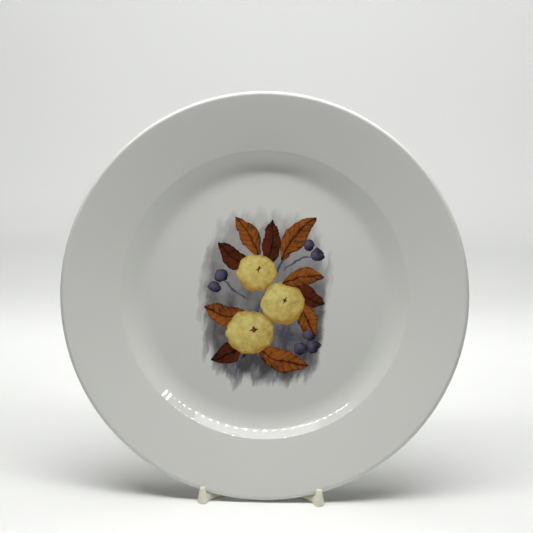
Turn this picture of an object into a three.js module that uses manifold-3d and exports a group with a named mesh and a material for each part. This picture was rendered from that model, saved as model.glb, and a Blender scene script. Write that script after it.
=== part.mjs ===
// A rimmed porcelain plate held upright by a small moulded plastic display stand.
// Millimetres, +Z up. The plate faces -Y and leans back, and the stand rests on z = 0.
// The origin ends up under the middle of the whole, at floor level.
import * as THREE from "three";
import { mergeVertices } from "three/addons/utils/BufferGeometryUtils.js";
import Module from "manifold-3d";

// ---- Plate: driving dimensions ----
const PLATE_R = 135; // outer edge of the rim
const FLOOR_R = 79.6; // where the flat floor starts to turn up
const COVE_R = 19.2; // hollow curve from the floor into the wall
const WALL_SLOPE = THREE.MathUtils.degToRad(44); // the wall above the hollow curve
const WALL_LENGTH = 5; // its straight part, along the slope
const EDGE_R = 2.5; // soft edge between wall and rim
const RIM_SLOPE = THREE.MathUtils.degToRad(21); // how steeply the rim rises outwards
const LIP_R = 2.1; // half-round lip
const BODY_T = 4.4; // thickness of floor and wall
const FOOT_H = 2.5; // foot ring below the underside
const FOOT_R = 78.4; // middle of the foot ring
const FOOT_W = 3.4; // its flat, which the plate stands on when it is laid down
const FOOT_BEVEL = 0.8; // on the foot ring's two edges
const BACK_BLEND = 3; // how far the bend between wall and rim reaches on the back
const PLATE_SIDES = 96;
const CURVE_STEPS = 3; // arcs take twice as many
const SAME_POINT = 0.01;

// ---- How the plate is held ----
const LEAN = THREE.MathUtils.degToRad(12); // from upright
const PLATE_LIFT = 1.2; // lowest point of the lip above the floor
const GAP = 0.3; // between the plate and whatever it touches

// ---- Stand: driving dimensions ----
const PRONG_X = 38.5; // each prong's distance from the middle
const PRONG_H = 10.8;
const PRONG_BASE_R = 3.6; // half the width at the floor
const PRONG_TOP_R = 1.9; // half the width at the top
const PRONG_DEPTH = 1.42; // a prong is this much deeper than half its width
const PRONG_ROUND = 0.5;
const PRONG_SIDES = 40;
const ARM_W = 5;
const ARM_H = 3.2;
const SEAT_LENGTH = 2.2; // flat behind each prong, under the lip
const SEAT_RUNOUT = 8; // where the hollow behind the seat reaches the arm's top
const BAR_W = 9; // width of upright, brace and spine
const UPRIGHT_T = 5;
const UPRIGHT_TOP = 112;
const BRACE_T = 4;
const SPINE_H = 4;
const SPINE_LENGTH = 64;
const REAR_FOOT_W = 44;
const REAR_FOOT_DEPTH = 8;
const HUB_R = 8.5;
const EDGE_BEVEL = 0.5;

const wasm = await Module();
wasm.setup();

// ---- Solids: three.js geometry in, one closed geometry out ----
function toSolid(geometry) {
  const bare = geometry.index ? geometry.clone() : mergeVertices(geometry);
  bare.deleteAttribute("normal");
  bare.deleteAttribute("uv");
  const merged = mergeVertices(bare, 1e-4);
  return new wasm.Manifold(new wasm.Mesh({
    numProp: 3,
    vertProperties: new Float32Array(merged.attributes.position.array),
    triVerts: new Uint32Array(merged.index.array),
  }));
}

function toGeometry(solid) {
  const { vertProperties, triVerts } = solid.getMesh();
  const geometry = new THREE.BufferGeometry();
  geometry.setAttribute("position", new THREE.BufferAttribute(vertProperties, 3));
  geometry.setIndex(new THREE.BufferAttribute(triVerts, 1));
  geometry.computeVertexNormals();
  return geometry;
}

// ---- Plate ----
// Profile in (radius, height above the foot ring), from the middle of the face, over the lip
// and back along the underside to the axis.
const floorTop = FOOT_H + BODY_T;
const upWall = new THREE.Vector2(Math.cos(WALL_SLOPE), Math.sin(WALL_SLOPE));
const wallTop = new THREE.Vector2(
  FLOOR_R + COVE_R * Math.sin(WALL_SLOPE),
  floorTop + COVE_R * (1 - Math.cos(WALL_SLOPE)),
).addScaledVector(upWall, WALL_LENGTH);
const edgeCentre = new THREE.Vector2(
  wallTop.x + EDGE_R * Math.sin(WALL_SLOPE),
  wallTop.y - EDGE_R * Math.cos(WALL_SLOPE),
);
// The lip's centre lies where the rim's face, drawn on at its slope, is tangent to the lip.
const lipCentre = new THREE.Vector2(PLATE_R - LIP_R, 0);
lipCentre.y = edgeCentre.y + (lipCentre.x - edgeCentre.x) * Math.tan(RIM_SLOPE)
  + (EDGE_R - LIP_R) / Math.cos(RIM_SLOPE);

function plateProfile() {
  const up = Math.PI / 2;
  const footOut = FOOT_R + FOOT_W / 2;
  const footIn = FOOT_R - FOOT_W / 2;
  const wallStart = Math.asin((footOut + FOOT_BEVEL - FLOOR_R) / (COVE_R + BODY_T));
  const bend = (WALL_SLOPE + RIM_SLOPE) / 2;
  const corner = new THREE.Vector2(Math.sin(bend), -Math.cos(bend))
    .multiplyScalar((BODY_T - EDGE_R) / Math.cos((WALL_SLOPE - RIM_SLOPE) / 2))
    .add(edgeCentre);
  const path = new THREE.Path();
  path.moveTo(0, floorTop);
  path.lineTo(FLOOR_R, floorTop);
  path.absarc(FLOOR_R, floorTop + COVE_R, COVE_R, -up, -up + WALL_SLOPE, false);
  path.absarc(edgeCentre.x, edgeCentre.y, EDGE_R, up + WALL_SLOPE, up + RIM_SLOPE, true);
  path.absarc(lipCentre.x, lipCentre.y, LIP_R, up + RIM_SLOPE, -up + RIM_SLOPE, true);
  path.lineTo(corner.x + BACK_BLEND, corner.y + BACK_BLEND * Math.tan(RIM_SLOPE));
  const wallBack = corner.clone().addScaledVector(upWall, -BACK_BLEND);
  path.quadraticCurveTo(corner.x, corner.y, wallBack.x, wallBack.y);
  path.absarc(FLOOR_R, floorTop + COVE_R, COVE_R + BODY_T, -up + WALL_SLOPE, -up + wallStart, true);
  path.lineTo(footOut + FOOT_BEVEL, FOOT_BEVEL);
  path.lineTo(footOut, 0);
  path.lineTo(footIn, 0);
  path.lineTo(footIn - FOOT_BEVEL, FOOT_BEVEL);
  path.lineTo(footIn - FOOT_BEVEL, FOOT_H);
  path.lineTo(0, FOOT_H);
  // Where two curves meet, their shared point is kept once.
  return path.getPoints(CURVE_STEPS)
    .filter((point, i, all) => i === 0 || point.distanceTo(all[i - 1]) > SAME_POINT);
}

// Where a point of the plate comes to lie: its radius and height, at a distance x from the
// middle plane, in the lower half of the leaning plate, measured from the foot ring's centre.
function leaning(radius, height, x = 0) {
  const down = Math.sqrt(radius ** 2 - x ** 2);
  return {
    y: -height * Math.cos(LEAN) - down * Math.sin(LEAN),
    z: height * Math.sin(LEAN) - down * Math.cos(LEAN),
  };
}

const plateZ = PLATE_LIFT + LIP_R - leaning(lipCentre.x, lipCentre.y).z;

function makePlate() {
  const profile = plateProfile().reverse();
  const glaze = new THREE.MeshStandardMaterial({ color: 0xf1f2ee, roughness: 0.12, metalness: 0 });
  const plate = new THREE.Mesh(new THREE.LatheGeometry(profile, PLATE_SIDES), glaze);
  plate.name = "plate";
  plate.rotation.x = Math.PI - LEAN;
  plate.position.z = plateZ;
  return plate;
}

// ---- Stand ----
// A flat bar with round ends from one point to another in the middle plane, each given as
// [y, z]. Its width is across the stand.
function bar(from, to, thickness, width) {
  const length = Math.hypot(to[0] - from[0], to[1] - from[1]);
  const r = thickness / 2;
  const outline = new THREE.Shape();
  outline.absarc(length, 0, r, -Math.PI / 2, Math.PI / 2, false);
  outline.absarc(0, 0, r, Math.PI / 2, 1.5 * Math.PI, false);
  return bevelled(outline, width)
    .rotateX(Math.PI / 2)
    .rotateZ(Math.PI / 2)
    .rotateX(Math.atan2(to[1] - from[1], to[0] - from[0]))
    .translate(0, from[0], from[1]);
}

// An outline in x and y pulled out to a width along z, centred on z = 0, with narrow bevels.
function bevelled(outline, width) {
  return new THREE.ExtrudeGeometry(outline, {
    depth: width - 2 * EDGE_BEVEL,
    bevelThickness: EDGE_BEVEL,
    bevelSize: EDGE_BEVEL,
    bevelOffset: -EDGE_BEVEL,
    bevelSegments: 1,
    curveSegments: 6,
  }).translate(0, 0, EDGE_BEVEL - width / 2);
}

// The two rests behind the prongs lie just under the lip, and each prong's back just before it.
const lipUnder = (x) => plateZ + leaning(lipCentre.x, lipCentre.y, x).z - LIP_R;
const seatTop = lipUnder(PRONG_X - ARM_W / 2) - GAP;
const prongBack = leaning(lipCentre.x, lipCentre.y, PRONG_X - PRONG_BASE_R).y - LIP_R - GAP;

// The upright's front touches the foot ring: its distance from the middle at a given height.
const restY = (z) => GAP / Math.cos(LEAN) + (z - plateZ) * Math.tan(LEAN);

function prong(x) {
  const profile = new THREE.Path();
  profile.moveTo(0, 0);
  profile.lineTo(PRONG_BASE_R, 0);
  profile.lineTo(PRONG_TOP_R, PRONG_H - PRONG_ROUND);
  profile.lineTo(PRONG_TOP_R - PRONG_ROUND, PRONG_H);
  profile.lineTo(0, PRONG_H);
  const cone = new THREE.LatheGeometry(profile.getPoints(), PRONG_SIDES)
    .rotateX(Math.PI / 2)
    .scale(1, PRONG_DEPTH, 1);
  const back = new THREE.BoxGeometry(20, 20, 40).translate(0, 10, 0);
  return toSolid(cone).subtract(toSolid(back)).translate([x, prongBack, 0]);
}

// An arm runs along the floor from a prong to the hub, its side outline given from the prong.
function arm(x, hubY) {
  const length = Math.hypot(x, hubY - prongBack);
  const outline = new THREE.Shape();
  outline.moveTo(-1, 0);
  outline.lineTo(length, 0);
  outline.lineTo(length, ARM_H);
  outline.lineTo(SEAT_RUNOUT, ARM_H);
  outline.quadraticCurveTo(SEAT_LENGTH + 1, ARM_H, SEAT_LENGTH, seatTop);
  outline.lineTo(-1, seatTop);
  const solid = bevelled(outline, ARM_W)
    .rotateX(Math.PI / 2)
    .rotateZ(Math.atan2(hubY - prongBack, -x))
    .translate(x, prongBack, 0);
  return toSolid(solid);
}

function makeStand() {
  const hubY = restY(0) + UPRIGHT_T / 2 / Math.cos(LEAN);
  const rearY = hubY + SPINE_LENGTH;
  const topY = restY(UPRIGHT_TOP) + UPRIGHT_T / 2 / Math.cos(LEAN);
  const low = SPINE_H / 2;
  const footPlan = new THREE.Shape();
  const footReach = (REAR_FOOT_W - REAR_FOOT_DEPTH) / 2;
  footPlan.absarc(footReach, 0, REAR_FOOT_DEPTH / 2, -Math.PI / 2, Math.PI / 2, false);
  footPlan.absarc(-footReach, 0, REAR_FOOT_DEPTH / 2, Math.PI / 2, 1.5 * Math.PI, false);
  const hub = new THREE.CylinderGeometry(HUB_R - EDGE_BEVEL, HUB_R, SPINE_H, PRONG_SIDES)
    .rotateX(Math.PI / 2)
    .translate(0, hubY + low, low);
  const pieces = [
    prong(-PRONG_X),
    prong(PRONG_X),
    arm(-PRONG_X, hubY),
    arm(PRONG_X, hubY),
    toSolid(bar([hubY, UPRIGHT_T / 2], [topY, UPRIGHT_TOP], UPRIGHT_T, BAR_W)),
    toSolid(bar([topY, UPRIGHT_TOP - UPRIGHT_T], [rearY, low], BRACE_T, BAR_W)),
    toSolid(bar([hubY, low], [rearY, low], SPINE_H, BAR_W)),
    toSolid(bevelled(footPlan, SPINE_H).translate(0, rearY, low)),
    toSolid(hub),
  ];
  const plastic = new THREE.MeshStandardMaterial({ color: 0xe4dfca, roughness: 0.45, metalness: 0 });
  const whole = pieces.reduce((sum, piece) => sum.add(piece));
  const stand = new THREE.Mesh(toGeometry(whole), plastic);
  stand.name = "stand";
  return stand;
}

// ---- The whole, with its origin under its middle ----
const group = new THREE.Group();
group.add(makePlate(), makeStand());
group.updateMatrixWorld(true);
const box = new THREE.Box3().setFromObject(group, true);
group.position.y = -(box.min.y + box.max.y) / 2;
group.updateMatrixWorld(true);

export default group;
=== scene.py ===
# %% [markdown]
# # A printed porcelain plate on its display stand
#
# The object is a white dinner plate, 27 cm across, with a picture printed in its well. It stands
# upright on a small moulded stand, as plates are shown on a shelf. Two things make its looks:
# the turned shape, whose curves catch the light in rings, and the glaze, a skin of glass that
# mirrors the lamps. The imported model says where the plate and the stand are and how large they
# are. Everything here is measured from it, in metres, with +Z up and the plate's face to -Y.

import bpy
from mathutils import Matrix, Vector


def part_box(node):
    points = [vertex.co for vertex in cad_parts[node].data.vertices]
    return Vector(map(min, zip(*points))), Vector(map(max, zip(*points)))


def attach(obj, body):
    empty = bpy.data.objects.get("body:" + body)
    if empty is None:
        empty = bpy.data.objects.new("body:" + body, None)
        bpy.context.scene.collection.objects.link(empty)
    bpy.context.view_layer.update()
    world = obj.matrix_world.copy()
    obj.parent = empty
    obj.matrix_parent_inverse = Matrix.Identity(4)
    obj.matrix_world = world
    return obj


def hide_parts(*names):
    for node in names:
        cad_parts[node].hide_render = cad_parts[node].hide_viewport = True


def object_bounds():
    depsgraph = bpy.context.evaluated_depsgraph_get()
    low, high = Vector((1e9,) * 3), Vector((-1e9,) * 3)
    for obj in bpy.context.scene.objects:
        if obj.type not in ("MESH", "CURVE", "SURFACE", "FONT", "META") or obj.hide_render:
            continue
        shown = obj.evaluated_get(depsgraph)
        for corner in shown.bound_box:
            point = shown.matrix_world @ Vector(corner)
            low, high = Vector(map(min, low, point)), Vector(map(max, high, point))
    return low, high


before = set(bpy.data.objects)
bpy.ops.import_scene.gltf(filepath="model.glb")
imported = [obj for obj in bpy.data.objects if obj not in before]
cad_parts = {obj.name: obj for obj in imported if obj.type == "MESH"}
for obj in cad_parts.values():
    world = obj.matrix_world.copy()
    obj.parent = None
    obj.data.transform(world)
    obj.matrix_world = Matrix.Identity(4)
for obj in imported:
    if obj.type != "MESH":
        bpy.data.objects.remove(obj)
cad_low, cad_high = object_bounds()
spans = [round(1000 * side) for side in cad_high - cad_low]
print("The packed model spans", spans, "mm, in", len(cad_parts), "nodes")

# %% [markdown]
# ## The helpers
#
# Colours are written as the hex codes that a paint chart gives. Shaders count light itself, so
# one function turns a code into linear light. Node trees are long to write one line for each
# link, so one function adds a node: its settings by name, its inputs in order, each either a
# value or the output that feeds it. It returns the output that the next node needs. The others
# start a node group, a material or an object, and turn what a modifier makes into a plain mesh.

# %% Colours and nodes
import math

import bmesh
import bpy
from mathutils import Matrix, Vector

MM = 0.001
MATH = "ShaderNodeMath"
VECTORS = "ShaderNodeVectorMath"
MIX = "ShaderNodeMix"
NOISE = "ShaderNodeTexNoise"
SPREAD = "ShaderNodeMapRange"


def srgb(code):
    """The linear colour of an sRGB hex code such as #DDDEDA."""
    parts = [int(code[i:i + 2], 16) / 255 for i in (1, 3, 5)]
    return [c / 12.92 if c <= 0.04045 else ((c + 0.055) / 1.055) ** 2.4 for c in parts] + [1.0]


def add(tree, kind, *inputs, out=0, **settings):
    """Adds a node and returns its output number out, or the node itself if out is None."""
    node = tree.nodes.new(kind)
    for name, value in settings.items():
        setattr(node, name, value)
    sockets = [socket for socket in node.inputs if socket.enabled]
    for socket, value in zip(sockets, inputs):
        if isinstance(value, bpy.types.NodeSocket):
            tree.links.new(value, socket)
        elif value is not None:
            socket.default_value = value
    return node if out is None else [socket for socket in node.outputs if socket.enabled][out]


def new_group(name, kind, inputs, outputs):
    """An empty node group with named sockets: its tree, its inputs by name and its output node."""
    tree = bpy.data.node_groups.new(name, kind)
    for in_out, sockets in (("INPUT", inputs), ("OUTPUT", outputs)):
        for label, socket_type in sockets.items():
            tree.interface.new_socket(label, in_out=in_out, socket_type="NodeSocket" + socket_type)
    start = tree.nodes.new("NodeGroupInput")
    return tree, start.outputs, tree.nodes.new("NodeGroupOutput")


def new_material(name):
    """A material, its node tree and its shader."""
    material = bpy.data.materials.new(name)
    material.use_nodes = True
    return material, material.node_tree, material.node_tree.nodes["Principled BSDF"]


def link_piece(name, data):
    """A new object in the scene, for a mesh, a camera or a lamp."""
    piece = bpy.data.objects.new(name, data)
    bpy.context.scene.collection.objects.link(piece)
    return piece


def freeze(piece):
    """Keeps what a piece's modifiers make as its plain mesh."""
    evaluated = piece.evaluated_get(bpy.context.evaluated_depsgraph_get())
    mesh = bpy.data.meshes.new_from_object(evaluated)
    piece.modifiers.clear()
    piece.data = mesh


print("The glaze's white is", [round(c, 3) for c in srgb("#DDDEDA")[:3]], "in linear light")

# %% [markdown]
# ## The camera
#
# A camera can be placed by eye or from a known viewpoint. Here it stands 65 cm in front of the
# plate, a little to its right and 16 degrees above it, as someone looks at a plate on a low
# shelf. It is made first, because everything after it is judged through it.

# %% Camera
LEAN = math.radians(12)  # of the plate, from upright
LIP_R = 2.1 * MM
INSET = 0.05 * MM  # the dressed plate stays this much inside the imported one

plate_low, plate_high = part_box("plate")
PLATE_R = (plate_high.x - plate_low.x) / 2 - INSET
lip_middle = Vector((
    (plate_low.x + plate_high.x) / 2,
    plate_low.y + LIP_R + (PLATE_R - LIP_R) * math.sin(LEAN),
    (plate_low.z + plate_high.z) / 2,
))
face_normal = Vector((0, -math.cos(LEAN), math.sin(LEAN)))

CAMERA_DISTANCE = 0.65
CAMERA_AZIMUTH = math.radians(2.9)
CAMERA_HEIGHT = math.radians(15.9)
CAMERA_LENS = 66.8  # mm, on Blender's usual 36 mm film
AIM_UP = math.radians(1.78)  # past the plate's middle, which sits low in the view
AIM_RIGHT = math.radians(0.23)

camera_data = bpy.data.cameras.new("camera")
camera_data.lens = CAMERA_LENS
camera = link_piece("camera", camera_data)
bpy.context.scene.camera = camera
towards_camera = Vector((
    math.sin(CAMERA_AZIMUTH) * math.cos(CAMERA_HEIGHT),
    -math.cos(CAMERA_AZIMUTH) * math.cos(CAMERA_HEIGHT),
    math.sin(CAMERA_HEIGHT),
))
camera.location = lip_middle + LIP_R * face_normal + CAMERA_DISTANCE * towards_camera
camera.rotation_euler = (math.pi / 2 - CAMERA_HEIGHT + AIM_UP, 0, CAMERA_AZIMUTH - AIM_RIGHT)
print("The camera is at", [round(c, 3) for c in camera.location])

# %% [markdown]
# ## The plate's outline
#
# A porcelain plate is pressed or cast, then turned smooth on a wheel, so half of its cross
# section tells everything. The section could be drawn as a curve with handles. Here it is a
# short list of corners, each with the radius that rounds it off, because that is how a mould
# maker draws it: floor, wall and rim are straight lines, and the hollow between floor and wall
# is just a corner with a very large rounding.

# %% Corners of the section
FLOOR_R = 79.6 * MM
COVE_R = 19.2 * MM  # the hollow between floor and wall
WALL_SLOPE = math.radians(44)
WALL_LENGTH = 5 * MM  # the wall's straight part, along its slope
EDGE_R = 2.5 * MM  # the soft edge between wall and rim
RIM_SLOPE = math.radians(21)
BODY = 4.4 * MM  # thickness of floor and wall
BACK_EDGE_R = 8 * MM  # between rim and wall, on the back
BACK_EDGE_SHIFT = 1.5 * MM  # that corner's place, further out than the one on the face
FOOT_H = 2.5 * MM
FOOT_R = 78.4 * MM
FOOT_HALF = 2.5 * MM  # half the foot ring's width, with its rounded edges
FOOT_EDGE_R = 1.1 * MM
FOOT_ROOT_R = 0.8 * MM
FOOT_STEP = 0.3 * MM  # the base is this much thinner outside the ring
BASE_SLOPE = math.radians(8)  # outside the foot ring
BASE_OUTSIDE = 9.9 * MM  # from the foot ring to where the wall turns up
HEEL_R = 20 * MM  # where it turns up


def along(slope, length):
    """A step along the section, in radius and height."""
    return Vector((math.cos(slope), math.sin(slope))) * length


def plate_corners():
    """Each corner's name, its place as radius and height, and its rounding."""
    up = math.pi / 2
    floor_turn = Vector((FLOOR_R + COVE_R * math.tan(WALL_SLOPE / 2), FOOT_H + BODY))
    cove_end = floor_turn + along(WALL_SLOPE, COVE_R * math.tan(WALL_SLOPE / 2))
    wall = WALL_LENGTH + EDGE_R * math.tan((WALL_SLOPE - RIM_SLOPE) / 2)
    rim_turn = cove_end + along(WALL_SLOPE, wall)
    lip_x = PLATE_R - LIP_R * (1 + math.sin(RIM_SLOPE))
    lip_face = rim_turn + along(RIM_SLOPE, (lip_x - rim_turn.x) / math.cos(RIM_SLOPE))
    lip_centre = lip_face - along(RIM_SLOPE + up, LIP_R)
    lip_corner = lip_centre + along(RIM_SLOPE, LIP_R)
    under_rim = rim_turn - along(RIM_SLOPE + up, 2 * LIP_R) + along(RIM_SLOPE, BACK_EDGE_SHIFT)
    foot_out = FOOT_R + FOOT_HALF
    foot_in = FOOT_R - FOOT_HALF
    root = Vector((foot_out, FOOT_H + FOOT_STEP))
    heel = root + along(BASE_SLOPE, BASE_OUTSIDE)
    corners = [
        ("Middle of the floor", (0, FOOT_H + BODY), 0),
        ("Floor to wall", floor_turn, COVE_R),
        ("Wall to rim", rim_turn, EDGE_R),
        ("Lip, face side", lip_corner + along(RIM_SLOPE + up, LIP_R), LIP_R),
        ("Lip, back side", lip_corner - along(RIM_SLOPE + up, LIP_R), LIP_R),
        ("Rim to wall, back", under_rim, BACK_EDGE_R),
        ("Wall to base, back", heel, HEEL_R),
        ("Root of the foot, outside", root, FOOT_ROOT_R),
        ("Foot, outside", (foot_out, 0), FOOT_EDGE_R),
        ("Foot, inside", (foot_in, 0), FOOT_EDGE_R),
        ("Root of the foot, inside", (foot_in, FOOT_H), FOOT_ROOT_R),
        ("Middle of the base", (0, FOOT_H), 0),
    ]
    return corners, lip_centre


corners, lip_centre = plate_corners()
foot_middle = lip_middle - lip_centre.y * face_normal
print(len(corners), "corners, and the plate is", round((lip_centre.y + LIP_R) / MM, 1), "mm high")

# %% [markdown]
# ## Turning it
#
# The section could be spun with the Spin tool or a Screw modifier. Geometry Nodes do it here,
# because the tree can be read as the making: put the corners in a row, join them, round them
# off, and carry the section round a wheel. Every corner is an input of its own, as radius,
# height and rounding, so the same tree turns a soup plate or a saucer.

# %% Geometry nodes: turned on a wheel
WHEEL_R = 0.1  # the path that carries the section round; any size will do
STEP = 5 * MM  # longest stretch between two points of the section
ROUNDING_STEPS = 12
SAME_POINT = 0.01 * MM  # closer points are merged, as at the plate's middle
SPLIT = "ShaderNodeSeparateXYZ"
JOIN = "ShaderNodeCombineXYZ"


def turning_tree(corners):
    sockets = {name: "Vector" for name, *_ in corners}
    sockets |= {"Steps round": "Int", "Steps in a rounding": "Int", "Finish": "Material"}
    gives = {"Plate": "Geometry"}
    tree, given, end = new_group("Turned on a wheel", "GeometryNodeTree", sockets, gives)
    pick = tree.nodes.new("GeometryNodeIndexSwitch")
    pick.data_type = "VECTOR"
    while len(pick.index_switch_items) < len(corners):
        pick.index_switch_items.new()
    tree.links.new(add(tree, "GeometryNodeInputIndex"), pick.inputs[0])
    for number, (name, *_) in enumerate(corners, start=1):
        tree.links.new(given[name], pick.inputs[number])
    corner = add(tree, SPLIT, pick.outputs[0], out=None).outputs
    from_wheel = add(tree, MATH, corner[0], WHEEL_R, operation="SUBTRACT")
    # On a wheel that turns to the left, a section's own up comes to lie downwards.
    upside_down = add(tree, MATH, corner[1], -1.0, operation="MULTIPLY")
    place = add(tree, JOIN, from_wheel, upside_down, 0.0)
    row = add(tree, "GeometryNodeMeshLine", len(corners))
    row = add(tree, "GeometryNodeMeshToCurve", row)
    row = add(tree, "GeometryNodeSetPosition", row, True, place)
    section = add(tree, "GeometryNodeFilletCurve", row, given["Steps in a rounding"],
                  corner[2], False, mode="POLY")
    here = add(tree, "GeometryNodeInputPosition")
    next_index = add(tree, MATH, add(tree, "GeometryNodeInputIndex"), 1.0)
    there = add(tree, "GeometryNodeFieldAtIndex", here, next_index, data_type="FLOAT_VECTOR")
    stretch = add(tree, VECTORS, here, there, operation="DISTANCE")
    section = add(tree, "GeometryNodeSubdivideCurve", section,
                  add(tree, MATH, stretch, STEP, operation="DIVIDE"))
    wheel = add(tree, "GeometryNodeCurvePrimitiveCircle", given["Steps round"], WHEEL_R)
    turned = add(tree, "GeometryNodeCurveToMesh", wheel, section)
    turned = add(tree, "GeometryNodeMergeByDistance", turned, True, SAME_POINT)
    turned = add(tree, "GeometryNodeSetShadeSmooth", turned)
    turned = add(tree, "GeometryNodeRealizeInstances", turned)
    turned = add(tree, "GeometryNodeSetMaterial", turned, True, given["Finish"])
    tree.links.new(turned, end.inputs[0])
    return tree


def turn(name, corners, steps, finish):
    """Runs the tree on an empty piece and keeps what it makes as a plain mesh."""
    piece = link_piece(name, bpy.data.meshes.new(name))
    modifier = piece.modifiers.new("turning", "NODES")
    modifier.node_group = turning_tree(corners)
    values = {corner: (*place, rounding) for corner, place, rounding in corners}
    values |= {"Steps round": steps, "Steps in a rounding": ROUNDING_STEPS, "Finish": finish}
    for item in modifier.node_group.interface.items_tree:
        if item.in_out == "INPUT":
            modifier[item.identifier] = values[item.name]
    freeze(piece)
    return piece


print("The wheel is ready, with", len(corners), "corners to round off")

# %% [markdown]
# ## Where the picture goes
#
# The picture is a decal fired into the glaze, flat on the well's floor. It could be unwrapped
# and drawn in a UV editor. A turned shape needs no unwrapping: the object's own coordinates,
# moved to the middle of the well and leaned back with the plate, are already a ruler that lies
# on the face. One Mapping node gives that ruler in millimetres.

# %% A ruler on the face
MAPPING = "ShaderNodeMapping"
well_middle = foot_middle + (FOOT_H + BODY) * face_normal


def face_ruler(tree):
    """Millimetres on the well's face: x across, y up and z out of it."""
    own = add(tree, "ShaderNodeTexCoord", out=None).outputs["Object"]
    upright = (math.pi / 2 - LEAN, 0, 0)
    return add(tree, MAPPING, own, well_middle, upright, (MM, MM, MM), vector_type="TEXTURE")


print("The well's middle is at", [round(c / MM, 1) for c in well_middle], "mm")

# %% [markdown]
# ## One brush mark for everything
#
# The picture is a plain still life in the manner of a water colour: leaves, fruit and berries
# on a grey ground. Each leaf could be its own drawing. Looked at closely, a painter makes all
# of them with the same mark, a stroke that swells and thins out again. So there is one node
# group for a mark, with its middle, turn, half its length and width, a bend, and how pointed
# it is. A round mark is a berry, a pointed one a leaf, and a very thin one a stem.

# %% Node group: a brush mark
SOFT_EDGE = 0.45  # mm over which a mark's edge fades, as paint does on paper


def make_brush_mark():
    sockets = {name: "Vector" for name in ("Spot", "Middle", "Turn", "Half")}
    sockets |= {"Bend": "Float", "Point": "Float"}
    gives = {"Cover": "Float", "Side": "Float", "Along": "Float", "Depth": "Float"}
    tree, given, end = new_group("Brush mark", "ShaderNodeTree", sockets, gives)
    mark = add(tree, MAPPING, *[given[n] for n in ("Spot", "Middle", "Turn", "Half")],
               vector_type="TEXTURE")
    x, y, _ = add(tree, SPLIT, mark, out=None).outputs
    square = add(tree, MATH, x, x, operation="MULTIPLY")
    side = add(tree, MATH, square, given["Bend"], y, operation="MULTIPLY_ADD")
    left_over = add(tree, MATH, 1.0, square, operation="SUBTRACT", use_clamp=True)
    width = add(tree, MATH, left_over, given["Point"], operation="POWER")
    off_line = add(tree, MATH, side, operation="ABSOLUTE")
    depth = add(tree, MATH, width, off_line, operation="SUBTRACT")
    half_width = add(tree, SPLIT, given["Half"], out=1)
    fade = add(tree, MATH, SOFT_EDGE, half_width, operation="DIVIDE")
    cover = add(tree, SPREAD, depth, 0.0, fade)
    for socket, value in zip(end.inputs, (cover, side, x, depth)):
        tree.links.new(value, socket)
    return tree


BRUSH_MARK = make_brush_mark()
print("One mark takes", len(BRUSH_MARK.nodes), "nodes")

# %% [markdown]
# ## The ground
#
# Behind the motifs lies a grey wash, laid with a wide flat brush that leaves streaks and frays
# where it runs dry. Plain noise gives clouds, not strokes. Drawn out along the stroke, seven or
# eight times as long as it is wide, it gives streaks, and the same streaks decide how far the
# wash reaches at its ends, so that bristles and frayed edge belong together. A little cloud on
# top is the wet paper. The whole fills an upright shape between an oval and a rectangle.

# %% Node group: a brushed wash
STROKE_TURN = math.radians(82)
STROKE_SIZE = (60, 8, 1)  # mm, how long and how wide one streak is
CLOUD_SIZE = 20  # mm
SQUARED_OFF = 3.5  # the outline's power: 2 is an oval, and more is nearer to a rectangle
FRAY = 7.0  # mm, how far the driest bristles fall short of the edge


def make_wash():
    sockets = {"Spot": "Vector", "Half": "Vector", "Luck": "Vector"}
    gives = {"Cover": "Float", "Tone": "Float"}
    tree, given, end = new_group("Brushed wash", "ShaderNodeTree", sockets, gives)
    along_stroke = add(tree, MAPPING, given["Spot"], given["Luck"], (0, 0, STROKE_TURN),
                       STROKE_SIZE, vector_type="TEXTURE")
    streaks = add(tree, NOISE, along_stroke, 1.0, 3.0, 0.55)
    shifted = add(tree, VECTORS, given["Spot"], given["Luck"])
    clouds = add(tree, NOISE, shifted, 1 / CLOUD_SIZE, 3.0, 0.55)
    share = add(tree, VECTORS, given["Spot"], given["Half"], operation="DIVIDE")
    share = add(tree, VECTORS, share, operation="ABSOLUTE")
    x, y, _ = add(tree, SPLIT, share, out=None).outputs
    corner = add(tree, MATH, add(tree, MATH, x, SQUARED_OFF, operation="POWER"),
                 add(tree, MATH, y, SQUARED_OFF, operation="POWER"))
    from_middle = add(tree, MATH, corner, 1 / SQUARED_OFF, operation="POWER")
    half_width = add(tree, SPLIT, given["Half"], out=0)
    to_edge = add(tree, MATH, add(tree, MATH, 1.0, from_middle, operation="SUBTRACT"), half_width,
                  operation="MULTIPLY")
    dry = add(tree, SPREAD, streaks, 0.35, 0.65, 0.0, FRAY)
    cover = add(tree, SPREAD, add(tree, MATH, to_edge, dry, operation="SUBTRACT"), -2.0, 2.5)
    tone = add(tree, MATH, add(tree, SPREAD, streaks, 0.3, 0.7, 0.0, 0.6),
               add(tree, SPREAD, clouds, 0.35, 0.65, 0.0, 0.6))
    for socket, value in zip(end.inputs, (cover, tone)):
        tree.links.new(value, socket)
    return tree


WASH = make_wash()
print("The wash takes", len(WASH.nodes), "nodes")

# %% [markdown]
# ## The composition
#
# A branch rises from the lower left to the upper right. It carries rust brown leaves, three
# pale yellow fruits, and dark blue berries on slate stems. It could be drawn in a curve editor,
# but a still life is a handful of decisions, so it is a handful of lines. Each gives a mark's
# kind, its place and size in millimetres, its turn in degrees, and its bend.

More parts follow.
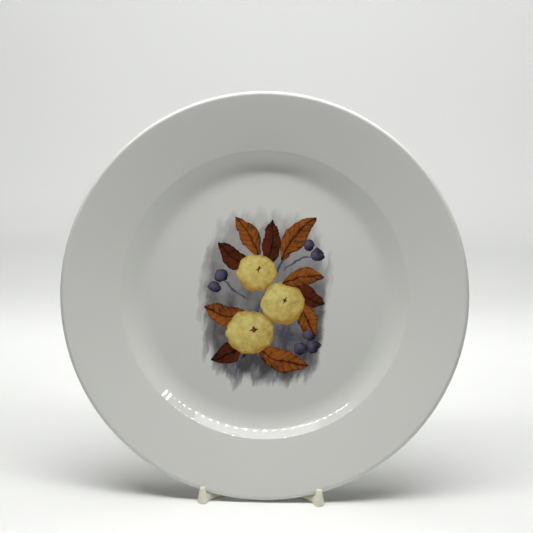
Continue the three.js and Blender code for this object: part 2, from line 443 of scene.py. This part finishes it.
# %% Marks of the picture, from the bottom layer up
PICTURE_MIDDLE = (0.7, -2.6)  # mm, from the middle of the well
WASHES = [  # half the width and height in mm, luck, light, deep
    ((45, 62, 1), (0, 0, 0), "#B8B5B2", "#67646A"),
    ((43, 55, 1), (70, 40, 0), "#9F9B9B", "#48464A"),
]
PAINTS = {  # kind: light, deep, how pointed, far side, veins, shine
    "stem": ("#5A6377", "#2C3040", 0.35, 0.3, 0.0, 0.0),
    "leaf": ("#A05C26", "#431D12", 0.9, 0.35, 0.75, 0.0),
    "dark leaf": ("#602B17", "#1B110C", 0.9, 0.35, 0.6, 0.0),
    "fruit": ("#EADB86", "#B28A3C", 0.5, 0.0, 0.0, 0.7),
    "berry": ("#656079", "#1B1720", 0.5, 0.0, 0.0, 0.95),
    "calyx": ("#7A4420", "#24160E", 0.9, 0.3, 0.0, 0.0),
}
MARKS = [  # kind, x, y, turn, half length, half width, bend
    ("dark leaf", -21, -36, 212, 17, 7.5, 0.4),
    ("dark leaf", 26, 3, -34, 16, 7.5, -0.4),
    ("dark leaf", -21, 27, 146, 16, 7.0, 0.4),
    ("dark leaf", 4, 37, 84, 17, 6.5, -0.3),
    ("stem", -3, -2, 66, 56, 1.3, 4.5),
    ("stem", 20, -27, -22, 15, 0.9, -2.0),
    ("stem", 23, 27, 22, 14, 0.9, 3.0),
    ("stem", -22, 6, 142, 13, 0.9, 2.0),
    ("leaf", 11, -42, -18, 19, 8.0, -0.4),
    ("leaf", 28, -12, -60, 16, 7.0, 0.4),
    ("leaf", -26, -12, 168, 17, 7.5, 0.5),
    ("leaf", -11, 43, 122, 16, 6.5, -0.4),
    ("leaf", 20, 43, 52, 19, 7.5, 0.4),
    ("fruit", -10, -23, 0, 16, 15.2, 0.0),
    ("fruit", 12, -3, 0, 15, 14.4, 0.0),
    ("fruit", -6, 18, 0, 13.5, 13.0, 0.0),
    ("calyx", -8, -21, 20, 3.0, 1.0, 0.3),
    ("calyx", -8, -21, 95, 3.0, 1.0, -0.3),
    ("calyx", 14, -1, -20, 2.8, 1.0, 0.3),
    ("calyx", 14, -1, 60, 2.8, 1.0, -0.3),
    ("calyx", -5, 20, 10, 2.6, 0.9, 0.3),
    ("calyx", -5, 20, 80, 2.6, 0.9, -0.3),
    ("leaf", 25, 15, 10, 15, 6.5, 0.4),
    ("berry", 33, -32, 0, 5.0, 4.8, 0.0),
    ("berry", 24, -34, 0, 4.6, 4.4, 0.0),
    ("berry", 30, -24, 0, 4.2, 4.0, 0.0),
    ("berry", 35, 30, 0, 4.8, 4.6, 0.0),
    ("berry", 29, 37, 0, 4.2, 4.0, 0.0),
    ("berry", -30, 16, 0, 5.0, 4.8, 0.0),
    ("berry", -35, 8, 0, 4.4, 4.2, 0.0),
]
VEIN_SLANT = 0.35  # a side vein's lean, as a share of the leaf's half length at its edge
VEIN_PAIRS = 4.0  # in half the leaf's length
BALL_LIGHT = (-0.35, 0.4, 0.0)  # up and to the left, in half sizes of the ball


def leaf_veins(tree, lengthwise, side):
    """1 on the midrib and, fainter, on the veins that slant away from it."""
    off_line = add(tree, MATH, side, operation="ABSOLUTE")
    midrib = add(tree, SPREAD, off_line, 0.03, 0.14, 1.0, 0.0)
    slant = add(tree, MATH, off_line, -VEIN_SLANT, lengthwise, operation="MULTIPLY_ADD")
    wave = add(tree, MATH, add(tree, MATH, slant, VEIN_PAIRS, operation="MULTIPLY"), 0.5,
               operation="PINGPONG")
    vein = add(tree, SPREAD, wave, 0.02, 0.16, 0.6, 0.0)
    return add(tree, MATH, midrib, vein, operation="MAXIMUM")


def round_shade(tree, lengthwise, side):
    """0 where a ball catches the light to 1 in its shade."""
    place = add(tree, JOIN, lengthwise, side, 0.0)
    from_light = add(tree, VECTORS, place, BALL_LIGHT, operation="DISTANCE")
    return add(tree, SPREAD, from_light, 0.15, 1.5)


def paint_mark(tree, below, spot, pigment, kind, x, y, turned, half_length, half_width, bend):
    """Lays one mark over the colour below, deeper on its far side and where pigment settled."""
    light, deep, point, far_side, veins, shine = PAINTS[kind]
    mark = add(tree, "ShaderNodeGroup", out=None, node_tree=BRUSH_MARK)
    mark.inputs["Middle"].default_value = (x, y, 0)
    mark.inputs["Turn"].default_value = (0, 0, math.radians(turned))
    mark.inputs["Half"].default_value = (half_length, half_width, 1)
    mark.inputs["Bend"].default_value = bend
    mark.inputs["Point"].default_value = point
    tree.links.new(spot, mark.inputs["Spot"])
    cover, side, lengthwise, depth = mark.outputs
    shade = add(tree, SPREAD, side, 0.5, -0.5, 0.0, far_side)
    outline = add(tree, SPREAD, depth, 0.25, 0.0, 0.0, 0.55)
    shade = add(tree, MATH, add(tree, MATH, shade, outline), pigment)
    if veins:
        lines = leaf_veins(tree, lengthwise, side)
        shade = add(tree, MATH, lines, veins, shade, operation="MULTIPLY_ADD")
    if shine:
        ball = round_shade(tree, lengthwise, side)
        shade = add(tree, MATH, ball, shine, shade, operation="MULTIPLY_ADD")
    shade = add(tree, SPREAD, shade, 0.0, 1.0)
    paint = add(tree, MIX, shade, srgb(light), srgb(deep), data_type="RGBA")
    return add(tree, MIX, cover, below, paint, data_type="RGBA")


print(len(MARKS), "marks in", len(PAINTS), "paints")

# %% [markdown]
# ## The hand that paints it
#
# The marks could be laid exactly where the list puts them, but a hand isn't a compass: its
# outlines wander by a millimetre or two, and the pigment settles in patches. Both are noise at
# the size of a fingertip, added once under all the marks. The washes get thinner and paler
# towards the top, where the brush ran dry.

# %% The picture over the glaze
WANDER_SIZE = 10  # mm from one wobble of the hand to the next
WANDER = 6.0  # mm, for noise that stays well inside 0 to 1
PATCH_SIZE = 6.25  # mm, of the settled pigment


def paint_picture(tree, face, glaze):
    """The picture's colour over the glaze's own, on the face's ruler."""
    place = add(tree, VECTORS, face, (*PICTURE_MIDDLE, 0), operation="SUBTRACT")
    hand = add(tree, NOISE, place, 1 / WANDER_SIZE, 3.0, 0.6, out=1)
    hand = add(tree, VECTORS, hand, (0.5, 0.5, 0.5), operation="SUBTRACT")
    spot = add(tree, VECTORS, hand, (WANDER, WANDER, 0.0), place, operation="MULTIPLY_ADD")
    settled = add(tree, NOISE, place, 1 / PATCH_SIZE, 4.0, 0.65)
    pigment = add(tree, SPREAD, settled, 0.35, 0.65, -0.25, 0.35)
    height = add(tree, SPLIT, place, out=1)
    colour = glaze
    body = add(tree, SPREAD, height, 60.0, -10.0, 0.5, 0.9)
    lower = add(tree, SPREAD, height, 50.0, -50.0, -0.45, 0.45)
    for half, luck, light, deep in WASHES:
        wash = add(tree, "ShaderNodeGroup", spot, half, luck, out=None, node_tree=WASH)
        cover, tone = wash.outputs
        deeper = add(tree, MATH, tone, lower, use_clamp=True)
        paint = add(tree, MIX, deeper, srgb(light), srgb(deep), data_type="RGBA")
        cover = add(tree, MATH, cover, body, operation="MULTIPLY")
        colour = add(tree, MIX, cover, colour, paint, data_type="RGBA")
    for mark in MARKS:
        colour = paint_mark(tree, colour, spot, pigment, *mark)
    return colour


print("The hand wanders over", WANDER_SIZE, "mm")

# %% [markdown]
# ## The glaze
#
# Porcelain is fired white clay under a transparent glass. The decal melts into that glass, so
# the picture is as glossy as the rest and only the colour changes. A coat over a duller base
# would also do. One glossy surface with the index of glass is simpler and bakes the same. The
# glaze isn't a perfect mirror: it pools in soft waves of a few centimetres and has a fine
# orange peel. The foot ring is wiped bare before firing, so it shows matt clay.

# %% Material: glazed porcelain
WHITE_GLAZE = "#DDDEDA"
BARE_CLAY = "#E3DFD6"
GLASS_IOR = 1.5
GLAZE_ROUGHNESS = 0.035
CLAY_ROUGHNESS = 0.7
POOL_SIZE = 35  # mm
PEEL_SIZE = 2.5  # mm
PEEL_SHARE = 0.03  # of the pools' relief
GLAZE_RELIEF = 0.02 * MM
BACK_BEGINS = -2.0  # mm from the face, inside the body


def make_porcelain():
    material, tree, shader = new_material("Glazed porcelain, decal fired into the glaze")
    face = face_ruler(tree)
    out_of_face = add(tree, SPLIT, face, out=2)
    on_front = add(tree, SPREAD, out_of_face, BACK_BEGINS - 1, BACK_BEGINS)
    picture = paint_picture(tree, face, srgb(WHITE_GLAZE))
    colour = add(tree, MIX, on_front, srgb(WHITE_GLAZE), picture, data_type="RGBA")
    foot_flat = -(FOOT_H + BODY) / MM
    on_foot = add(tree, SPREAD, out_of_face, foot_flat + 0.5, foot_flat + 0.2)
    colour = add(tree, MIX, on_foot, colour, srgb(BARE_CLAY), data_type="RGBA")
    tree.links.new(colour, shader.inputs["Base Color"])
    roughness = add(tree, SPREAD, on_foot, 0.0, 1.0, GLAZE_ROUGHNESS, CLAY_ROUGHNESS)
    tree.links.new(roughness, shader.inputs["Roughness"])
    shader.inputs["IOR"].default_value = GLASS_IOR
    pools = add(tree, NOISE, face, 1 / POOL_SIZE, 1.0)
    peel = add(tree, NOISE, face, 1 / PEEL_SIZE, 1.0)
    relief = add(tree, MATH, peel, PEEL_SHARE, pools, operation="MULTIPLY_ADD")
    bump = add(tree, "ShaderNodeBump", out=None)
    bump.inputs["Distance"].default_value = GLAZE_RELIEF
    tree.links.new(relief, bump.inputs["Height"])
    tree.links.new(bump.outputs["Normal"], shader.inputs["Normal"])
    return material


porcelain = make_porcelain()
print(porcelain.name, "takes", len(porcelain.node_tree.nodes), "nodes")

# %% [markdown]
# ## The plate
#
# The turned section lies flat, as on the wheel. A plate on a stand leans back, so the mesh is
# tipped up by a quarter turn less the lean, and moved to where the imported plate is. That goes
# into the mesh, and the object itself stays at the origin.

# %% The plate in its place
ROUND_STEPS = 360  # two or three millimetres each at the lip
plate = turn("dressed_plate", corners, ROUND_STEPS, porcelain)
stand_up = Matrix.Translation(foot_middle) @ Matrix.Rotation(math.pi / 2 - LEAN, 4, "X")
plate.data.transform(stand_up)
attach(plate, "root")
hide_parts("plate")
print("The plate has", len(plate.data.polygons), "faces")

# %% [markdown]
# ## The stand's bars
#
# The stand is one moulding: two arms with prongs, a hub, an upright, a brace and a spine on the
# table. Boxes with bevelled edges would show the bars but not the moulding, whose bars swell
# and melt into each other. So every bar is a rounded section carried along a line, with its own
# width and thickness at each step. Both flat faces have a shallow trough, as moulded bars do,
# because thick plastic sinks as it cools.

# %% A bar with a rounded section
SECTION_POINTS = 40
SQUARENESS = 0.5  # 1 gives an ellipse, and less a squarer section
TROUGH_WIDTH = 0.62  # of the bar's width
TROUGH_START = 9 * MM  # from the bar's end
TROUGH_FADE = 3 * MM  # over which it reaches its depth
BAR_STEPS = 60
TIP = 0.02  # of the thickness is left at the very end, so that no face collapses


def within(share):
    """A share held between 0 and 1."""
    return min(1.0, max(0.0, share))


def bar_ring(middle, side, up, trough=0.0):
    """One section of a bar. side and up are half its width and half its thickness."""
    ring = []
    for i in range(SECTION_POINTS):
        angle = math.tau * i / SECTION_POINTS
        across = math.copysign(abs(math.cos(angle)) ** SQUARENESS, math.cos(angle))
        out = math.copysign(abs(math.sin(angle)) ** SQUARENESS, math.sin(angle))
        out *= 1 - trough * max(0.0, 1 - (across / TROUGH_WIDTH) ** 4)
        ring.append(middle + across * side + out * up)
    return ring


def loft(build, rings):
    """Joins a row of rings into a closed solid, with a fan of faces at each end."""
    loops = [[build.verts.new(point) for point in ring] for ring in rings]
    for loop, following in zip(loops, loops[1:]):
        for i, corner in enumerate(loop):
            j = (i + 1) % len(loop)
            build.faces.new((corner, loop[j], following[j], following[i]))
    for loop in (loops[0], loops[-1]):
        middle = build.verts.new(sum((vert.co for vert in loop), Vector()) / len(loop))
        for i, corner in enumerate(loop):
            build.faces.new((corner, loop[(i + 1) % len(loop)], middle))


def straight_bar(build, start, end, width, thickness, trough=0.0):
    """A straight bar with round ends and a trough that stops short of them."""
    way = end - start
    side = Vector((1, 0, 0)) if abs(way.x) < way.length / 2 else Vector((0, 1, 0))
    up = way.normalized().cross(side)
    start = start - way.normalized() * thickness / 2
    end = end + way.normalized() * thickness / 2
    rings = []
    for i in range(BAR_STEPS + 1):
        share = (1 - math.cos(math.pi * i / BAR_STEPS)) / 2
        to_end = min(share, 1 - share) * (end - start).length
        rounding = math.sqrt(max(0.0, 1 - within(1 - to_end / (thickness / 2)) ** 2))
        half_side = side * (width - thickness * (1 - rounding)) / 2
        half_up = up * max(rounding, TIP) * thickness / 2
        sunk = trough * within((to_end - TROUGH_START) / TROUGH_FADE)
        rings.append(bar_ring(start.lerp(end, share), half_side, half_up, sunk))
    loft(build, rings)


print("A section has", SECTION_POINTS, "points")

# %% [markdown]
# ## The stand's measures
#
# The prongs are what shows from the front: stubby fingers, flat behind, where the plate's lip
# leans, and round in front, that widen towards the table. Behind each, the arm has a hollow
# seat in which the lip rests. Places could be typed in one by one. Here they follow from the
# packed stand's box and the plate's lip, so that the plate really rests on what carries it.

# %% Measures of the stand
PRONG_X = 38.5 * MM  # from the middle
PRONG_H = 10.8 * MM
PRONG_BASE_R = 3.6 * MM  # half its width at the table
PRONG_TOP_R = 1.9 * MM  # half its width at the top
PRONG_DEPTH = 1.42  # times half its width
ARM_W = 5 * MM
ARM_H = 3.2 * MM
SEAT_LENGTH = 2.2 * MM
SEAT_RUNOUT = 8 * MM  # where the hollow seat reaches the arm's top
BAR_W = 9 * MM  # of upright, brace and spine
UPRIGHT_T = 5 * MM
UPRIGHT_TOP = 112 * MM
BRACE_T = 4 * MM
SPINE_H = 4 * MM
SPINE_LENGTH = 64 * MM
REAR_FOOT_W = 44 * MM
REAR_FOOT_DEPTH = 8 * MM
HUB_R = 8.5 * MM
GAP = 0.3 * MM  # between the plate and what it touches

stand_low, stand_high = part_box("stand")
prong_back = stand_low.y + PRONG_DEPTH * PRONG_BASE_R
rear_y = stand_high.y - REAR_FOOT_DEPTH / 2
hub_y = rear_y - SPINE_LENGTH
top_y = hub_y + UPRIGHT_TOP * math.tan(LEAN)
lip_drop = math.sqrt((PLATE_R - LIP_R) ** 2 - (PRONG_X - ARM_W / 2) ** 2) * math.cos(LEAN)
seat_top = lip_middle.z - lip_drop - LIP_R - GAP
print("The seats are", round(seat_top / MM, 1), "mm above the table")

# %% [markdown]
# ## Prongs, arms and hub
#
# The prong is a half-round section that narrows as it rises, and the arm a bar whose height
# dips behind the prong and which flares a little into it. The hub is a flat disc with a rounded
# edge. Each could be cut from a block, but all three are rows of rings, as the bars are, so the
# same loft closes them.

# %% Prongs, arms and hub
PRONG_LEVELS = 24
PRONG_POINTS = 30  # round its front
PRONG_FULLNESS = 0.8  # 1 gives an ellipse, and less a fuller front
ARM_STEPS = 60
ARM_INSIDE = 1.6 * MM  # how far the arm starts inside the prong
ARM_FLARE = 0.25  # wider by this share at the prong
HUB_POINTS = 60
HUB_EDGE = [  # how far in from the hub's edge, and how high
    (0, 0),
    (0, 2.8 * MM),
    (0.5 * MM, 3.6 * MM),
    (1.5 * MM, SPINE_H),
]


def add_prong(build, x):
    rings = []
    for i in range(PRONG_LEVELS + 1):
        share = i / PRONG_LEVELS
        half = PRONG_BASE_R + (PRONG_TOP_R - PRONG_BASE_R) * share
        ring = []
        for j in range(PRONG_POINTS + 1):
            angle = math.pi * j / PRONG_POINTS
            forward = -PRONG_DEPTH * half * math.sin(angle) ** PRONG_FULLNESS
            on_front = Vector((half * math.cos(angle), forward, 0))
            ring.append(Vector((x, prong_back, PRONG_H * share)) + on_front)
        rings.append(ring)
    loft(build, rings)


def add_arm(build, x):
    """From inside the prong to the hub, with the hollow seat behind the prong."""
    start = Vector((x, prong_back, 0))
    way = (Vector((0, hub_y, 0)) - start).normalized()
    side = way.cross(Vector((0, 0, 1)))
    length = abs(x / way.x)
    rings = []
    for i in range(ARM_STEPS + 1):
        distance = (length + ARM_INSIDE) * i / ARM_STEPS - ARM_INSIDE
        run_out = within((distance - SEAT_LENGTH) / (SEAT_RUNOUT - SEAT_LENGTH))
        height = ARM_H + (seat_top - ARM_H) * (1 - run_out) ** 2
        flare = 1 + ARM_FLARE * (1 - within(distance / SEAT_RUNOUT)) ** 2
        middle = start + way * distance + Vector((0, 0, height / 2))
        rings.append(bar_ring(middle, side * ARM_W / 2 * flare, Vector((0, 0, height / 2))))
    loft(build, rings)


def add_hub(build):
    rings = []
    for inwards, height in HUB_EDGE:
        radius = HUB_R - inwards
        rings.append([Vector((radius * math.cos(angle), hub_y + radius * math.sin(angle), height))
                      for angle in (math.tau * j / HUB_POINTS for j in range(HUB_POINTS))])
    loft(build, rings)


print("A prong has", (PRONG_LEVELS + 1) * (PRONG_POINTS + 1), "points")

# %% [markdown]
# ## One moulding
#
# Separate bars that cross look glued. A voxel remesh melts them into one skin, as in the mould,
# and a little smoothing rounds every edge and corner. Then the underside is pressed flat on the
# table again. The troughs are 0.7 to 1 mm deep, and a voxel has to be finer than that.

# %% The stand, fused from its bars
VOXEL = 0.42 * MM
SMOOTHINGS = 5
BAR_TROUGH = 0.4  # of half the bar's thickness
SPINE_TROUGH = 0.35


def fuse_and_ease(piece):
    """Melts a piece's crossing solids into one smooth mesh that stands flat."""
    fuse = piece.modifiers.new("fuse", "REMESH")
    fuse.mode = "VOXEL"
    fuse.voxel_size = VOXEL
    ease = piece.modifiers.new("ease", "SMOOTH")
    ease.factor = 0.5
    ease.iterations = SMOOTHINGS
    freeze(piece)
    for vert in piece.data.vertices:
        vert.co.z = max(vert.co.z, 0.0)
    piece.data.polygons.foreach_set("use_smooth", [True] * len(piece.data.polygons))


def make_stand():
    build = bmesh.new()
    hub = Vector((0, hub_y, UPRIGHT_T / 2))
    top = Vector((0, top_y, UPRIGHT_TOP))
    rear = Vector((0, rear_y, SPINE_H / 2))
    for x in (-PRONG_X, PRONG_X):
        add_prong(build, x)
        add_arm(build, x)
    add_hub(build)
    straight_bar(build, hub, top, BAR_W, UPRIGHT_T, BAR_TROUGH)
    straight_bar(build, top - Vector((0, 0, UPRIGHT_T)), rear, BAR_W, BRACE_T, BAR_TROUGH)
    straight_bar(build, Vector((0, hub_y, SPINE_H / 2)), rear, BAR_W, SPINE_H, SPINE_TROUGH)
    reach = Vector(((REAR_FOOT_W - SPINE_H) / 2, 0, 0))
    straight_bar(build, rear - reach, rear + reach, REAR_FOOT_DEPTH, SPINE_H)
    bmesh.ops.recalc_face_normals(build, faces=build.faces)
    mesh = bpy.data.meshes.new("dressed_stand")
    build.to_mesh(mesh)
    build.free()
    piece = link_piece("dressed_stand", mesh)
    fuse_and_ease(piece)
    return piece


stand = make_stand()
print("The stand has", len(stand.data.polygons), "faces")

# %% [markdown]
# ## The stand's plastic
#
# Such stands are moulded in polystyrene with a little cream pigment. The mould was drawn off
# upwards, which leaves faint upright drag lines, and the plastic is a touch milky: light goes
# in a millimetre and comes out warmer. A plain satin surface would look like paint, and these
# three together look like plastic.

# %% Material: moulded polystyrene
CREAM = "#FAF6E4"
DEEP_CREAM = "#F1EAD2"
POLYSTYRENE_IOR = 1.55
SATIN_ROUGHNESS = 0.34
DRAG_WIDTH = 0.9 * MM  # from one drag line to the next
DRAG_LENGTH = 14 * MM
DRAG_RELIEF = 0.12 * MM
PIGMENT_CLOUD = 12 * MM


def make_polystyrene():
    material, tree, shader = new_material("Moulded polystyrene, cream")
    own = add(tree, "ShaderNodeTexCoord", out=None).outputs["Object"]
    drag_spot = add(tree, VECTORS, own, (1 / DRAG_WIDTH, 1 / DRAG_WIDTH, 1 / DRAG_LENGTH),
                    operation="MULTIPLY")
    drag = add(tree, NOISE, drag_spot, 1.0, 2.0, 0.5)
    cloud = add(tree, NOISE, own, 1 / PIGMENT_CLOUD, 2.0, 0.5)
    both = add(tree, MATH, drag, 0.5, cloud, operation="MULTIPLY_ADD")
    shade = add(tree, SPREAD, both, 0.5, 1.0)
    colour = add(tree, MIX, shade, srgb(CREAM), srgb(DEEP_CREAM), data_type="RGBA")
    tree.links.new(colour, shader.inputs["Base Color"])
    shader.inputs["Roughness"].default_value = SATIN_ROUGHNESS
    shader.inputs["IOR"].default_value = POLYSTYRENE_IOR
    shader.inputs["Subsurface Weight"].default_value = 0.4
    shader.inputs["Subsurface Radius"].default_value = (1.0, 0.85, 0.6)
    shader.inputs["Subsurface Scale"].default_value = 1.5 * MM
    bump = add(tree, "ShaderNodeBump", out=None)
    bump.inputs["Distance"].default_value = DRAG_RELIEF
    bump.inputs["Strength"].default_value = 0.6
    tree.links.new(drag, bump.inputs["Height"])
    tree.links.new(bump.outputs["Normal"], shader.inputs["Normal"])
    return material


polystyrene = make_polystyrene()
stand.data.materials.clear()
stand.data.materials.append(polystyrene)
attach(stand, "root")
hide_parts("stand")
print(polystyrene.name, "takes", len(polystyrene.node_tree.nodes), "nodes")

# %% [markdown]
# ## The stage
#
# The stand is on a sheet of white paper. A plane would end in a hard line behind the plate, so
# the sheet runs back on the table and then sweeps up in a quarter circle, far behind, and the
# camera sees no horizon.

# %% Floor and sweep
FLOOR_FRONT = -1.1
FLOOR_HALF = 1.1  # half the sheet's width
SWEEP_START = 0.75  # where it begins to rise
SWEEP_R = 0.45
SWEEP_STEPS = 24
SHEET_TOP = 2.2


def make_sweep():
    points = [(FLOOR_FRONT, 0.0), (SWEEP_START, 0.0)]
    for i in range(1, SWEEP_STEPS + 1):
        angle = math.pi / 2 * i / SWEEP_STEPS
        points.append((SWEEP_START + SWEEP_R * math.sin(angle), SWEEP_R * (1 - math.cos(angle))))
    points.append((SWEEP_START + SWEEP_R, SHEET_TOP))
    mesh = bpy.data.meshes.new("sweep")
    verts = [(x, y, z) for y, z in points for x in (-FLOOR_HALF, FLOOR_HALF)]
    faces = [(2 * i, 2 * i + 1, 2 * i + 3, 2 * i + 2) for i in range(len(points) - 1)]
    mesh.from_pydata(verts, [], faces)
    mesh.polygons.foreach_set("use_smooth", [True] * len(faces))
    return link_piece("sweep", mesh)


def make_paper():
    material, _, shader = new_material("Matt white paper")
    shader.inputs["Base Color"].default_value = srgb("#FBFCFA")
    shader.inputs["Roughness"].default_value = 0.9
    shader.inputs["Specular IOR Level"].default_value = 0.2
    return material


sweep = make_sweep()
sweep.data.materials.append(make_paper())
print("The sweep rises", SWEEP_START, "m behind the object")

# %% [markdown]
# ## The lamps
#
# The plate stands under a bar of small lamps, as in a display cabinet. One long panel would
# light it as well, but a glossy surface shows the lamp itself, so the lamps are built one by
# one: their row shows as a line of dots in the lower wall of the well.

# %% Lamps
LAMP_COUNT = 27
LAMP_SPAN = 0.7
LAMP_Y = -0.092
LAMP_SKEW = 0.035  # the bar hangs two degrees askew, its right end forward
LAMP_Z = 0.5
LAMP_SIZE = (0.008, 0.022)
LAMP_GLOW = 84.0
LAMP_WHITE = (1, 1, 0.98, 1)


def make_lamp_bar():
    mesh = bpy.data.meshes.new("lamp_bar")
    verts, faces = [], []
    for i in range(LAMP_COUNT):
        x = LAMP_SPAN * (i / (LAMP_COUNT - 1) - 0.5)
        y = LAMP_Y - LAMP_SKEW * x
        for dx, dy in ((-1, -1), (-1, 1), (1, 1), (1, -1)):
            verts.append((x + dx * LAMP_SIZE[0] / 2, y + dy * LAMP_SIZE[1] / 2, LAMP_Z))
        faces.append(tuple(range(4 * i, 4 * i + 4)))
    mesh.from_pydata(verts, [], faces)
    bar = link_piece("lamp_bar", mesh)
    material, tree, shader = new_material("White lamp")
    tree.nodes.remove(shader)
    glow = add(tree, "ShaderNodeEmission", LAMP_WHITE, LAMP_GLOW)
    tree.links.new(glow, tree.nodes["Material Output"].inputs["Surface"])
    mesh.materials.append(material)
    bar.visible_camera = False
    return bar


make_lamp_bar()
print(LAMP_COUNT, "lamps over the plate")

# %% [markdown]
# ## Soft light
#
# The lamps alone would leave hard shadows. Their milky cover throws light on the floor behind
# the plate, a large panel high above stands for an overcast sky, and three long panels behind
# the plate wash the backdrop and the floor. A picture of a room could light it too, but panels
# say where the light comes from. The room itself is almost dark, and only pale where it is seen.

# %% Panels and room
PANELS = [  # name, place and aim in metres, size, watts, how wide it shines in degrees
    ("lamp_cover", (0, 0.03, 0.5), (0, 0.03, 0), (0.7, 0.2), 0.5, 180),
    ("sky", (0, 0, 0.9), (0, 0, 0), (0.8, 0.6), 4.3, 180),
    ("backdrop_wash", (0, 0.5, 0.45), (0, 1.2, 0.35), (2.0, 0.2), 2.5, 120),
    ("far_floor_wash", (0, 0.4, 0.75), (0, 0.65, 0), (2.0, 0.3), 1.02, 70),
    ("floor_wash", (0, 0.28, 0.6), (0, 0.28, 0), (2.0, 0.1), 0.32, 40),
]
ROOM_WHITE = "#E4E6E2"
ROOM_LIGHT = 0.05  # what the room adds, of what is seen of it


def add_panel(name, place, aim, size, watts, spread):
    data = bpy.data.lights.new(name, "AREA")
    data.shape = "RECTANGLE"
    data.size, data.size_y = size
    data.energy = watts
    data.spread = math.radians(spread)
    panel = link_piece(name, data)
    panel.location = place
    panel.rotation_euler = (Vector(aim) - Vector(place)).to_track_quat("-Z", "Y").to_euler()
    panel.visible_camera = False


for panel in PANELS:
    add_panel(*panel)

world = bpy.data.worlds.new("Pale room")
world.use_nodes = True
bpy.context.scene.world = world
room = world.node_tree
room.nodes["Background"].inputs["Color"].default_value = srgb(ROOM_WHITE)
seen = add(room, "ShaderNodeLightPath", out=None).outputs["Is Camera Ray"]
strength = add(room, SPREAD, seen, 0.0, 1.0, ROOM_LIGHT, 1.0)
room.links.new(strength, room.nodes["Background"].inputs["Strength"])
bpy.context.scene.view_settings.view_transform = "Standard"
print(len(PANELS), "soft panels")
